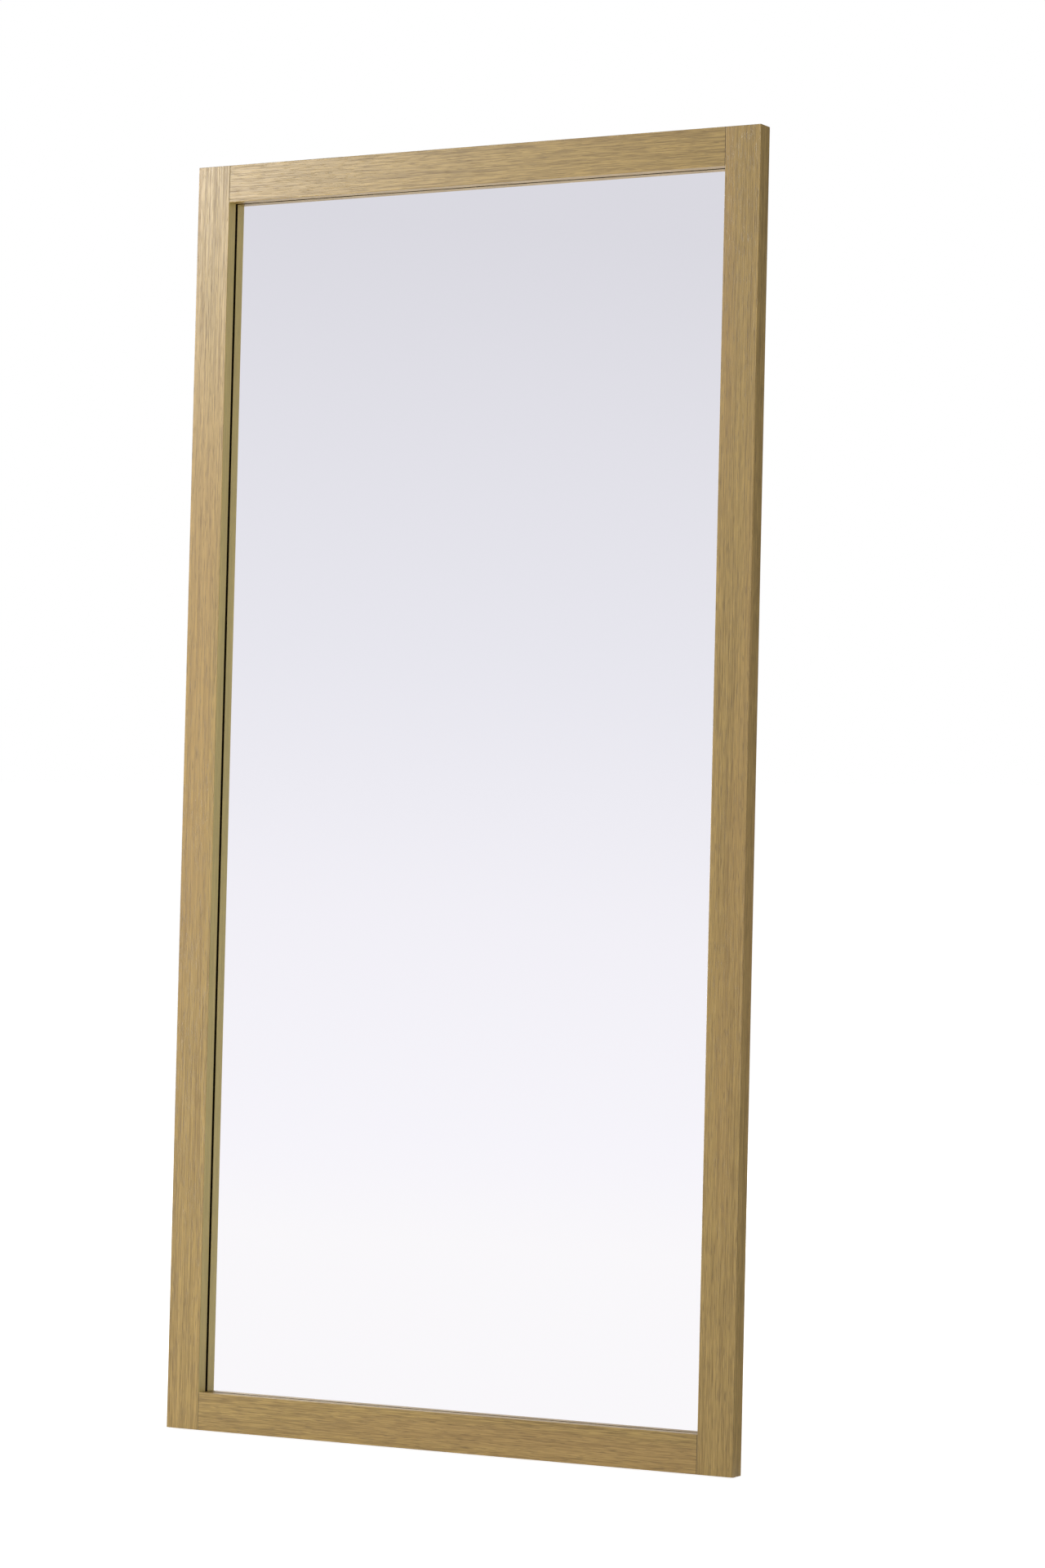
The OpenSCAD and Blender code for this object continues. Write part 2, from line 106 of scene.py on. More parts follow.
class Nodes:
    """A node tree with short ways to add the nodes that the finishes and the world use."""

    def __init__(self, owner: bpy.types.ID) -> None:
        """Empties the tree of a material or a world.

        Args:
            owner: the material or the world.
        """
        owner.use_nodes = True
        self.tree = owner.node_tree
        self.tree.nodes.clear()

    def add(self, kind: str, **inputs: object) -> bpy.types.Node:
        """A new node of that kind with its inputs fed.

        Args:
            kind: the node's type, without its ShaderNode.
            inputs: what its inputs are given, by name.

        Returns:
            The node.
        """
        node = self.tree.nodes.new(f"ShaderNode{kind}")
        self.fill(node, **inputs)
        return node

    def fill(self, node: bpy.types.Node, **inputs: object) -> None:
        """Links or sets a node's inputs, with _ for a space in their names."""
        for name, value in inputs.items():
            self.feed(node.inputs[name.replace("_", " ")], value)

    def feed(self, socket: Socket, value: object) -> None:
        """Links or sets one input.

        Args:
            socket: the input.
            value: an output socket to link, or the number, vector or colour to set.
        """
        if isinstance(value, Socket):
            self.tree.links.new(value, socket)
        else:
            socket.default_value = rgba(value) if socket.type == "RGBA" else value

    def part(self, vector: Socket, axis: str) -> Socket:
        """One of the X, Y and Z parts of a vector."""
        return self.add("SeparateXYZ", Vector=vector).outputs[axis]

    def fade(
        self,
        value: Socket,
        low: float,
        high: float,
        start: float = 0.0,
        end: float = 1.0,
    ) -> Socket:
        """value mapped from low..high to start..end, clamped and smoothed.

        Args:
            value: the number to map.
            low, high: the range it is taken over.
            start, end: what the ends of that range become.

        Returns:
            The mapped number.
        """
        node = self.add("MapRange", Value=value, From_Min=low, From_Max=high)
        self.fill(node, To_Min=start, To_Max=end)
        node.interpolation_type = "SMOOTHSTEP"
        return node.outputs["Result"]

    def maths(self, operation: str, first: object, second: object) -> Socket:
        """One step of arithmetic on two sockets or numbers.

        Args:
            operation: the step, as the Math node names it.
            first, second: what it works on.

        Returns:
            The result.
        """
        node = self.add("Math")
        node.operation = operation
        self.feed(node.inputs[0], first)
        self.feed(node.inputs[1], second)
        return node.outputs[0]

    def blend(self, factor: object, first: object, second: object) -> Socket:
        """A mix of two colours by factor.

        Args:
            factor: the share of the second, 0 to 1.
            first, second: the colours, or sockets that give them.

        Returns:
            The mixed colour.
        """
        node = self.add("Mix")
        node.data_type = "RGBA"
        colour_a, colour_b, result = 6, 7, 2
        self.feed(node.inputs["Factor"], factor)
        self.feed(node.inputs[colour_a], first)
        self.feed(node.inputs[colour_b], second)
        return node.outputs[result]


class Graph(Nodes):
    """A material's node tree, ending in a Principled shader."""

    def __init__(self, name: str) -> None:
        """Starts an empty material of that name with an output and a Principled shader.

        Args:
            name: the material's name.
        """
        self.material = bpy.data.materials.new(name)
        super().__init__(self.material)
        self.shader = self.add("BsdfPrincipled")
        self.add("OutputMaterial", Surface=self.shader.outputs["BSDF"])

    def coordinates(
        self,
        turn: Sequence[float] = (0, 0, 0),
        scale: Sequence[float] = (1, 1, 1),
        shift: Sequence[float] = (0, 0, 0),
    ) -> Socket:
        """The piece's own coordinates, turned by turn, scaled by scale and moved by shift.

        Args:
            turn: angles about x, y and z, in radians.
            scale: units a metre along each turned axis.
            shift: how far the result is moved, in those units.

        Returns:
            The coordinates.
        """
        place = self.add("TexCoord").outputs["Object"]
        turned = self.add("Mapping", Vector=place, Rotation=turn).outputs["Vector"]
        scaled = self.add("Mapping", Vector=turned, Scale=scale, Location=shift)
        return scaled.outputs["Vector"]

    def noise(
        self,
        vector: Socket,
        detail: float = 2.0,
        roughness: float = 0.5,
        distortion: float = 0.0,
    ) -> Socket:
        """A noise pattern of scale 1, 0 to 1 about a middle of 0.5.

        Args:
            vector: the coordinates it is read at.
            detail: how many finer layers are added.
            roughness: how strong each finer layer is.
            distortion: how far the pattern is bent.

        Returns:
            The pattern.
        """
        node = self.add("TexNoise", Vector=vector, Scale=1.0, Detail=detail)
        self.fill(node, Roughness=roughness, Distortion=distortion)
        return node.outputs["Fac"]

    def cloud(self, scale: float, **settings: float) -> Socket:
        """A noise pattern that is the same in every direction, with scale units a metre."""
        return self.noise(self.coordinates(scale=(scale,) * 3), **settings)

    def relief(self, height: Socket, depth: float, ease: float = 0.0) -> None:
        """Bumps the surface by height times depth, in metres.

        Args:
            height: the pattern.
            depth: how deep a step of 1 in the pattern is.
            ease: radius that sharp edges are seen rounded to, in metres.
        """
        node = self.add("Bump", Height=height, Distance=depth, Strength=1.0)
        if ease:
            self.fill(node, Normal=self.add("Bevel", Radius=ease).outputs["Normal"])
        self.set(Normal=node.outputs["Normal"])

    def set(self, **values: object) -> None:
        """Sets or links the shader's inputs, with _ for a space in their names."""
        self.fill(self.shader, **values)


# --- finishes


@dataclass(frozen=True)
class Oak:
    """Straight-grained oak under a matt lacquer.

    Streaks run along the fibres: bands a few millimetres wide for the growth rings, fine
    fibres and short flecks between them, and short dark pores that also dent the surface. The
    face beside the glass is painted paler and greener, painted light that stands in for the
    light the glass throws on it.
    """

    light: Colour = linear(195, 163, 94)
    dark: Colour = linear(137, 110, 54)
    pore: Colour = linear(104, 81, 38)
    warm: Colour = linear(183, 144, 88)
    joint: Colour = linear(70, 56, 34)
    glass_light: Colour = linear(190, 178, 104)
    ring_gap: float = 6.0 * MM
    ring_run: float = 0.9
    streak_gap: float = 1.3 * MM
    streak_run: float = 120 * MM
    fleck_gap: float = 1.1 * MM
    fleck_run: float = 30 * MM
    pore_gap: float = 0.85 * MM
    pore_run: float = 18 * MM
    roughness: float = 0.36
    gloss: float = 0.6
    pore_depth: float = 0.05 * MM
    seam: float = 0.9 * MM

    def make(
        self,
        name: str,
        grain: Grain,
        slope: float,
        seed: float,
        reach: Optional[float] = None,
        inner: Optional[float] = None,
    ) -> Material:
        """Builds the material for one timber.

        Args:
            name: the material's name.
            grain: which way the fibres run.
            slope: how far the timber is turned about the width axis, in radians.
            seed: moves the pattern, so that no two timbers match.
            reach: half the length of a rail whose ends get a painted dark line, painted shade that
                deepens the shadow in the groove at the joint.
            inner: how far from the middle a stile's face beside the glass stands; that face gets
                painted light.

        Returns:
            The material.
        """
        graph = Graph(name)
        across = math.pi / 2 if grain is Grain.ACROSS else 0.0
        turn = tuple((Matrix.Rotation(across, 3, "Y") @ Matrix.Rotation(slope, 3, "X")).to_euler())
        shift = (seed, seed * 1.7, seed * 0.6)

        def fibres(gap: float, run: float) -> Socket:
            """Coordinates in which one unit is gap across the fibres and run along them."""
            return graph.coordinates(turn, (1 / gap, 1 / gap, 1 / run), shift)

        rings = graph.noise(fibres(self.ring_gap, self.ring_run), detail=2.0, distortion=0.35)
        streaks = graph.noise(fibres(self.streak_gap, self.streak_run), detail=3.0, roughness=0.6)
        hair = graph.noise(fibres(self.streak_gap / 3, self.streak_run * 2), detail=2.0)
        flecks = graph.noise(fibres(self.fleck_gap, self.fleck_run), detail=1.0)
        pores = graph.noise(fibres(self.pore_gap, self.pore_run), detail=1.0, roughness=0.4)
        tone = graph.noise(fibres(0.05, 0.7), detail=1.0)

        body = graph.fade(rings, *SPREAD, 0.0, 0.26)
        for layer in (
            graph.fade(streaks, 0.4, 0.62, 0.0, 0.48),
            graph.fade(hair, 0.35, 0.65, -0.14, 0.16),
            graph.fade(flecks, 0.36, 0.64, -0.1, 0.28),
        ):
            body = graph.maths("ADD", body, layer)
        colour = graph.blend(body, self.light, self.dark)
        colour = graph.blend(graph.fade(tone, 0.4, 0.7, 0.0, 0.28), colour, self.warm)
        pits = graph.fade(pores, 0.58, 0.7)
        colour = graph.blend(graph.maths("MULTIPLY", pits, 0.5), colour, self.pore)
        far = graph.maths("ABSOLUTE", graph.part(graph.coordinates(), "X"), 0.0)
        # painted shade: a dark line at each rail end, where the groove between rail and stile lies
        # in shadow
        if reach:
            groove_shade_mask = graph.fade(far, reach - self.seam, reach - self.seam / 3, 0.0, 0.85)
            colour = graph.blend(groove_shade_mask, colour, self.joint)
        # painted light: the stile's face beside the glass is coloured paler and greener for the
        # light the glass throws on it
        if inner:
            glass_light_mask = graph.fade(far, inner + 0.1 * MM, inner + 0.4 * MM, 0.5, 0.0)
            colour = graph.blend(glass_light_mask, colour, self.glass_light)
        height = graph.maths("SUBTRACT", graph.maths("MULTIPLY", streaks, 0.35), pits)
        graph.set(
            Base_Color=colour,
            Roughness=graph.fade(streaks, 0.25, 0.75, self.roughness - 0.05, self.roughness + 0.08),
            Specular_IOR_Level=self.gloss,
        )
        graph.relief(height, self.pore_depth)
        return graph.material


@dataclass(frozen=True)
class Plated:
    """Zinc-plated steel: a cool metal with a cloudy bloom and fine drawn lines."""

    colour: Colour = linear(196, 199, 204)
    bloom: Colour = linear(160, 164, 170)
    roughness: float = 0.3
    ease: float = 0.25 * MM

    def make(self, name: str) -> Material:
        """Builds the material.

        Args:
            name: the material's name.

        Returns:
            The material.
        """
        graph = Graph(name)
        cloud = graph.cloud(140, detail=3.0)
        lines = graph.noise(graph.coordinates(scale=(400, 4000, 4000)), detail=1.0)
        haze = graph.fade(cloud, *SPREAD, -0.07, 0.09)
        spread = graph.maths("ADD", haze, graph.fade(lines, *SPREAD, -0.04, 0.05))
        mask = graph.fade(cloud, 0.35, 0.65, 0.0, 0.6)
        graph.set(
            Base_Color=graph.blend(mask, self.colour, self.bloom),
            Roughness=graph.maths("ADD", spread, self.roughness),
            Metallic=1.0,
        )
        graph.relief(lines, 0.004 * MM, ease=self.ease)
        return graph.material


@dataclass(frozen=True)
class PowderCoat:
    """Satin black powder coat on steel, with its fine orange peel."""

    colour: Colour = linear(34, 34, 35)
    roughness: float = 0.45
    ease: float = 0.5 * MM

    def make(self, name: str) -> Material:
        """Builds the material.

        Args:
            name: the material's name.

        Returns:
            The material.
        """
        graph = Graph(name)
        peel = graph.cloud(1400, detail=2.0)
        dust = graph.cloud(60, detail=2.0)
        lighter = tuple(c * 1.5 + 0.002 for c in self.colour)
        mask = graph.fade(dust, 0.4, 0.7, 0.0, 0.6)
        graph.set(
            Base_Color=graph.blend(mask, self.colour, lighter),
            Roughness=graph.fade(peel, *SPREAD, self.roughness - 0.06, self.roughness + 0.08),
        )
        graph.relief(peel, 0.03 * MM, ease=self.ease)
        return graph.material


@dataclass(frozen=True)
class Rubber:
    """Moulded rubber or foam: matt, with a fine grain and pale rubbed patches."""

    colour: Colour = linear(46, 44, 42)
    rubbed: Colour = linear(70, 67, 63)
    grain: float = 1.0 * MM
    roughness: float = 0.8
    gloss: float = 0.5

    def make(self, name: str) -> Material:
        """Builds the material.

        Args:
            name: the material's name.

        Returns:
            The material.
        """
        graph = Graph(name)
        fine = graph.cloud(1 / self.grain, detail=3.0)
        patch = graph.cloud(70, detail=2.0)
        mask = graph.fade(patch, 0.4, 0.75, 0.0, 0.8)
        graph.set(
            Base_Color=graph.blend(mask, self.colour, self.rubbed),
            Roughness=graph.fade(fine, *SPREAD, self.roughness - 0.1, self.roughness + 0.1),
            Specular_IOR_Level=self.gloss,
        )
        graph.relief(fine, 0.08 * MM)
        return graph.material


@dataclass(frozen=True)
class Hardboard:
    """Pressed brown board with short fibres in every direction and a faint sheen."""

    colour: Colour = linear(134, 103, 72)
    fibre: Colour = linear(104, 77, 52)
    fleck: Colour = linear(160, 130, 96)

    def make(self, name: str) -> Material:
        """Builds the material.

        Args:
            name: the material's name.

        Returns:
            The material.
        """
        graph = Graph(name)
        felt = graph.cloud(420, detail=4.0, roughness=0.65, distortion=1.2)
        flecks = graph.noise(graph.coordinates(scale=(900, 900, 260), shift=(3, 1, 7)), detail=2.0)
        cloud = graph.cloud(6, detail=3.0)
        colour = graph.blend(graph.fade(felt, *SPREAD), self.colour, self.fibre)
        colour = graph.blend(graph.fade(flecks, 0.66, 0.76, 0.0, 0.6), colour, self.fleck)
        colour = graph.blend(graph.fade(cloud, 0.35, 0.7, 0.0, 0.25), colour, self.fibre)
        graph.set(Base_Color=colour, Roughness=graph.fade(felt, *SPREAD, 0.48, 0.66))
        graph.relief(felt, 0.04 * MM)
        return graph.material


@dataclass(frozen=True)
class Brass:
    """Turned brass, slightly dulled."""

    colour: Colour = linear(206, 172, 98)
    tarnish: Colour = linear(150, 116, 62)

    def make(self, name: str) -> Material:
        """Builds the material.

        Args:
            name: the material's name.

        Returns:
            The material.
        """
        graph = Graph(name)
        cloud = graph.cloud(220, detail=3.0)
        graph.set(
            Base_Color=graph.blend(graph.fade(cloud, 0.4, 0.7), self.colour, self.tarnish),
            Roughness=graph.fade(cloud, *SPREAD, 0.26, 0.42),
            Metallic=1.0,
        )
        return graph.material


@dataclass(frozen=True)
class Beech:
    """Plain beech dowel with its short darker rays along the grain."""

    colour: Colour = linear(222, 188, 142)
    ray: Colour = linear(178, 136, 92)

    def make(self, name: str) -> Material:
        """Builds the material.

        Args:
            name: the material's name.

        Returns:
            The material.
        """
        graph = Graph(name)
        rays = graph.noise(graph.coordinates(scale=(180, 1500, 1500)), detail=2.0)
        graph.set(
            Base_Color=graph.blend(graph.fade(rays, 0.5, 0.75), self.colour, self.ray),
            Roughness=graph.fade(rays, *SPREAD, 0.55, 0.7),
        )
        graph.relief(rays, 0.03 * MM)
        return graph.material


@dataclass(frozen=True)
class Silvering:
    """The mirror's silver behind clear float glass, with the glass's faint cool tint."""

    tint: Colour = (0.955, 0.965, 0.965)
    edge: Colour = (0.945, 0.958, 0.955)

    def make(self, name: str) -> Material:
        """Builds the material.

        Args:
            name: the material's name.

        Returns:
            The material.
        """
        graph = Graph(name)
        drift = graph.cloud(0.8, detail=1.0)
        graph.set(
            Base_Color=graph.blend(drift, self.tint, self.edge),
            Roughness=0.0,
            Metallic=1.0,
        )
        return graph.material


# --- meshes


@dataclass(frozen=True)
class Shell:
    """A closed skin over a stack of rings, points of shape (rings, points a ring, 3).

    The stack is shut by a face at each end, or joined round to its start when hoop is set.
    """

    rings: np.ndarray
    hoop: bool = False

    def mirrored(self) -> "Shell":
        """The same skin on the other side of x = 0."""
        return Shell(self.rings * (-1, 1, 1), self.hoop)

    def moved(self, shift: Sequence[float]) -> "Shell":
        """The same skin moved by shift."""
        return Shell(self.rings + np.array(shift), self.hoop)

    def faces(self) -> list[list[int]]:
        """The skin's faces, turned outwards, with the flat end faces last.

        Point i of ring k joins points i and i + 1 of rings k and k + 1 in one quad. All the
        faces are turned over if the volume that they sweep about their middle is negative.

        Returns:
            Point numbers of each face.
        """
        count, around, _ = self.rings.shape
        rows = np.arange(count if self.hoop else count - 1)
        row, step = np.meshgrid(rows, np.arange(around), indexing="ij")
        ahead = (step + 1) % around
        base, above = row * around, (row + 1) % count * around
        quads = np.stack([base + step, base + ahead, above + ahead, above + step], axis=-1)
        quads = quads.reshape(-1, 4)
        circle = np.arange(around)
        ends = [] if self.hoop else [circle[::-1], circle + (count - 1) * around]
        points = self.rings.reshape(-1, 3)
        points = points - points.mean(axis=0)
        volume = 0.0
        for fan in (quads, *ends):
            for k in range(1, fan.shape[-1] - 1):
                normal = np.cross(points[fan[..., k]], points[fan[..., k + 1]])
                volume += (points[fan[..., 0]] * normal).sum()
        turn = 1 if volume > 0 else -1
        return [face[::turn].tolist() for face in (*quads, *ends)]


def linked(name: str, data: bpy.types.ID) -> Piece:
    """A new object in the scene that shows that data.

    Args:
        name: the object's name.
        data: the mesh, light or camera.

    Returns:
        The object.
    """
    thing = bpy.data.objects.new(name, data)
    bpy.context.scene.collection.objects.link(thing)
    return thing


def skin(name: str, *shells: Shell, smooth_angle: float = 35.0) -> Piece:
    """Makes one piece from closed shells.

    Args:
        name: the piece's name.
        shells: its skins, in the row frame.
        smooth_angle: edges sharper than this many degrees stay sharp.

    Returns:
        The new object, linked to the scene.
    """
    faces: list[list[int]] = []
    flat: list[bool] = []
    start = 0
    for shell in shells:
        part = shell.faces()
        faces += [[start + corner for corner in face] for face in part]
        flat += [len(face) > 4 for face in part]
        start += shell.rings.shape[0] * shell.rings.shape[1]
    mesh = bpy.data.meshes.new(name)
    points = np.concatenate([shell.rings.reshape(-1, 3) for shell in shells])
    mesh.from_pydata(points.tolist(), [], faces)
    mesh.set_sharp_from_angle(angle=math.radians(smooth_angle))
    mesh.polygons.foreach_set("use_smooth", ~np.array(flat))
    mesh.update()
    return linked(name, mesh)


def eased_box(half: Sequence[float], ease: float, corner: float, steps: int = 4) -> np.ndarray:
    """The rings of a slab with rounded upright corners and eased top and bottom edges.

    The outline is a rounded rectangle: each quarter turn of the angle adds its corner's centre
    to a circle of radius corner. Through the thickness the outline shrinks by ease times
    one minus the sine of an angle that runs from the face to the side and back.

    Args:
        half: half the length, width and thickness, in metres.
        ease: radius of the eased edges.
        corner: radius of the outline's corners.
        steps: points along each quarter turn, less one.

    Returns:
        Rings of points of shape (rings, points, 3), centred on the origin, thickness along z.
    """
    quarter = np.linspace(0, math.pi / 2, steps + 1)
    angle = np.concatenate([quarter + k * math.pi / 2 for k in range(4)])
    signs = np.repeat(np.array([[1, 1], [-1, 1], [-1, -1], [1, -1]]), steps + 1, axis=0)
    centres = signs * (np.array(half[:2]) - corner)
    direction = np.stack([np.cos(angle), np.sin(angle)], axis=1)
    turn = np.linspace(0, math.pi / 2, steps + 1)
    shrink = np.concatenate([ease * (1 - np.sin(turn)), ease * (1 - np.cos(turn))])
    edge = half[2] - ease
    height = np.concatenate([edge + ease * np.cos(turn), -edge - ease * np.sin(turn)])
    flat = centres[None] + direction[None] * (corner - shrink[:, None, None])
    rise = np.broadcast_to(height[:, None, None], (*flat.shape[:2], 1))
    return np.concatenate([flat, rise], axis=2)


def turned(profile: Sequence[Sequence[float]], steps: int = 72) -> np.ndarray:
    """The rings of a piece turned about the x axis, with hexagonal stretches where asked.

    Each profile row is the distance along x, the radius and how hexagonal the ring is, 0 to 1.
    A round ring's points stand at that radius. A hexagon's stand at the radius divided by the
    cosine of the angle from the middle of the nearest flat, and in between the two are mixed.

    Args:
        profile: the rows, in millimetres.
        steps: points round each ring.

    Returns:
        Rings of points of shape (rows, steps, 3), in metres.
    """
    along, radius, hexed = np.array([(*row, 0)[:3] for row in profile]).T[:, :, None]
    angle = np.linspace(0, 2 * math.pi, steps, endpoint=False)[None]
    from_flat = (angle + math.pi / 6) % (math.pi / 3) - math.pi / 6
    reach = radius * (1 - hexed + hexed / np.cos(from_flat))
    rings = [along + 0 * reach, reach * np.cos(angle), reach * np.sin(angle)]
    return np.stack(rings, axis=-1) * MM


def turned_pair(
    name: str, node: str, profile: Sequence[Sequence[float]], length: float, hoop: bool = False
) -> Piece:
    """Makes a left and a right turned piece whose outer ends are those of a CAD node.

    Args:
        name: the piece's name.
        node: the CAD node that the pair stands for.
        profile: the rows of the right piece, in millimetres.
        length: how far inside the node's outer end the profile starts, in millimetres.
        hoop: whether the last row is joined to the first.

    Returns:
        The pair as one piece.
    """
    low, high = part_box(node)
    middle = (low + high) / 2
    right = Shell(turned(profile), hoop).moved((high.x - length * MM, middle.y, middle.z))
    return skin(name, right, right.mirrored())


def washer(inner: float, outer: float, thick: float, ease: float = 0.3) -> list[Row]:
    """Profile rows of a flat washer with eased edges."""
    side = [(ease, inner), (0, inner + ease), (0, outer - ease), (ease, outer)]
    return side + [(thick - along, radius) for along, radius in side[::-1]]


def dome(
    start: float, rim: float, top: float, radius: float, inner: float, steps: int = 6
) -> list[Row]:
    """Profile rows of a quarter ellipse from radius at start + rim to inner at start + top.

    Args:
        start, rim, top: distances along the axis.
        radius, inner: the first and the last radius.
        steps: rows, less one.

    Returns:
        The rows.
    """
    turn = np.linspace(0, math.pi / 2, steps + 1)
    along = start + rim + (top - rim) * np.sin(turn)
    return list(zip(along, inner + (radius - inner) * np.cos(turn)))


def thread(start: float, end: float, radius: float, pitch: float) -> list[Row]:
    """Profile rows of a thread drawn as even grooves from start to end.

    Args:
        start, end: where the grooves begin and stop.
        radius: the crests' radius.
        pitch: from one crest to the next.

    Returns:
        The rows.
    """
    groove = ((0.0, 0.0), (0.2, 0.0), (0.5, 0.3))  # shares of the pitch, along and inwards
    crests = np.arange(start, end, pitch)
    return [(c + pitch * along, radius - pitch * deep) for c in crests for along, deep in groove]


def domed_head(
    thick: float, radius: float, socket: float, lip: float, deep: float, ease: float = 0.3
) -> list[Row]:
    """Profile rows of a domed head, from its underside at 0 to its hexagon socket's floor.

    Args:
        thick, radius: the head's size.
        socket: from the middle of the socket to a flat.
        lip: how far outside the flats the dome ends.
        deep: the socket's depth.
        ease: size of the edge under the head.

    Returns:
        The rows.
    """
    return [
        (0, radius - ease),
        (ease, radius),
        *dome(0, 0.9, thick, radius, socket + lip),
        (thick, socket + 0.9),
        (thick - 0.15, socket + 0.25, 0.5),
        (thick - 0.4, socket, 1),
        (thick - deep, socket, 1),
    ]


@dataclass(frozen=True)
class Panel:
    """The leaning panel's own directions, taken from the left stile's box.

    Points are given as x across, y from the front face towards the back and z up the panel.
    """

    lean: float = math.radians(4)
    depth: float = 25 * MM
    reveal: float = 16 * MM
    pane: float = 4 * MM
    glass_bend: float = 1.5

    @property
    def origin(self) -> np.ndarray:
        """The middle of the front face's bottom arris."""
        low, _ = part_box("left_stile")
        return np.array([0.0, low.y, low.z + self.depth * math.sin(self.lean)])

    @property
    def height(self) -> float:
        """The panel's height along its face: its box's height less what the depth adds."""
        low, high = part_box("left_stile")
        return (high.z - low.z - self.depth * math.sin(self.lean)) / math.cos(self.lean)

    @property
    def axes(self) -> np.ndarray:
        """Rows are the panel's x, y and z directions in the row frame."""
        sine, cosine = math.sin(self.lean), math.cos(self.lean)
        return np.array([[1, 0, 0], [0, cosine, -sine], [0, sine, cosine]])

    def place(self, points: np.ndarray) -> np.ndarray:
        """Panel points in the row frame."""
        return self.origin + points @ self.axes

    def centre(self) -> np.ndarray:
        """The middle of the front face."""
        return self.place(np.array([0, 0, self.height / 2]))


# --- sub-assemblies


def dress(node: str, material: Material) -> None:
    """Gives a CAD node its finish and reports it.

    Args:
        node: the node's name.
        material: its finish.
    """
    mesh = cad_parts[node].data
    mesh.materials.clear()
    mesh.materials.append(material)
    LOG.info("dressed %s in %s", node, material.name)


def settle(
    piece: Piece, body: Body, slot: str, material: Material, *nodes: str
) -> None:
    """Finishes a new piece.

    Args:
        piece: the piece, already in place.
        body: what it rides on.
        slot: the record's material slot; not used.
        material: its finish.
        nodes: the CAD nodes it stands for.
    """
    piece.data.materials.append(material)
    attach(piece, body.value)
    if nodes:
        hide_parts(*nodes)
    LOG.info("made %s for %s", piece.name, ", ".join(nodes) or body.value)


@dataclass
class Frame:
    """The four timbers round the mirror and the dowels that join them."""

    panel: Panel
    oak: Oak = field(default_factory=Oak)
    rail_oak: Oak = field(default_factory=lambda: Oak(streak_run=60 * MM, ring_gap=7 * MM))

    def dress(self) -> None:
        """Puts oak on the timbers, each with its own grain, and beech on the dowels."""
        nodes = ("left_stile", "right_stile", "top_rail", "bottom_rail")
        for seed, node in zip((3.1, 10.4, 17.7, 25.0), nodes):
            name, lean = f"oak_{node}", self.panel.lean
            opening = min(abs(corner.x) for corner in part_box(node))
            if node.endswith("stile"):
                oak = self.oak.make(name, Grain.UPRIGHT, lean, seed, inner=opening)
            else:
                oak = self.rail_oak.make(name, Grain.ACROSS, lean, seed, reach=opening)
            dress(node, oak)
        dress("frame_dowels", Beech().make("beech_dowels"))


@dataclass
class Mirror:
    """The silvered pane with the tape and the board behind it."""

    panel: Panel
    edge: float = 0.5 * MM
    corner: float = 1.5 * MM
    shade_band_in: float = 0.25 * MM
    shade_band_out: float = 2.5 * MM
    shade_band_gap: float = 0.05 * MM

    def make_silver(self) -> Piece:
        """Makes the reflecting layer of the pane.

        Glass lifts what lies behind it: the silver at the pane's back is seen at the
        thickness divided by the glass's bending of light, so that is where it is built. The
        hollow left in front of it, behind the frame's lip, is the dark line round a real
        mirror's edge. A black band of painted shade in that hollow darkens the line further.

        Returns:
            The piece.
        """
        low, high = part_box("mirror_pane")
        panel = self.panel
        length = ((high.z - low.z) - panel.pane * math.sin(panel.lean)) / math.cos(panel.lean)
        seen = panel.pane / panel.glass_bend
        front, back = panel.reveal + seen, panel.reveal + panel.pane
        half = ((high.x - low.x) / 2, length / 2, (back - front) / 2)
        rings = eased_box(half, self.edge, self.corner)
        upright = rings[..., [0, 2, 1]] + (0, (front + back) / 2, panel.height / 2)
        return skin("silvered_pane", Shell(panel.place(upright)))

    def make_painted_shade_band(self) -> Piece:
        """Makes a dark band behind the frame's lip: painted shade that darkens the gap there and
        keeps pale wood out of the mirror.

        A small upright rectangle, from just behind the lip's back face to just before the
        silver, is carried round the opening's four mitred corners.

        Returns:
            The piece.
        """
        panel = self.panel
        across, upward = (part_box(node) for node in ("top_rail", "right_stile"))
        half_width = across[1].x
        face = upward[1].x - half_width
        half_height = panel.height / 2 - face
        near = panel.reveal + self.shade_band_gap
        far = panel.reveal + panel.pane / panel.glass_bend - self.shade_band_gap
        inner, outer = self.shade_band_in, self.shade_band_out
        section = np.array([(inner, near), (outer, near), (outer, far), (inner, far)])
        corners = np.array([(1, 1), (-1, 1), (-1, -1), (1, -1)])
        rings = np.stack(
            [
                corners[:, None, 0] * (half_width + section[None, :, 0]),
                np.broadcast_to(section[None, :, 1], (4, 4)),
                corners[:, None, 1] * (half_height + section[None, :, 0]) + panel.height / 2,
            ],
            axis=-1,
        )
        return skin("painted_shade_band", Shell(panel.place(rings), hoop=True))

    def dress(self) -> None:
        """Makes the pane and dresses what is behind it."""
        # painted shade: a matt black band behind the lip that darkens its shadowed gap
        black, brown = linear(16, 11, 3), linear(24, 17, 6)
        paint = Rubber(colour=black, rubbed=brown, grain=0.5 * MM, gloss=0.0)
        settle(self.make_painted_shade_band(), Body.MIRROR, "oak_frame", paint.make("painted_shade_band"))
        silver = Silvering().make("silvering")
        settle(self.make_silver(), Body.MIRROR, "mirror", silver, "mirror_pane")
        foam = Rubber(colour=linear(34, 34, 35), rubbed=linear(44, 44, 45), grain=0.6 * MM)
        dress("glazing_tape", foam.make("foam_tape"))
        dress("backing_board", Hardboard().make("hardboard"))


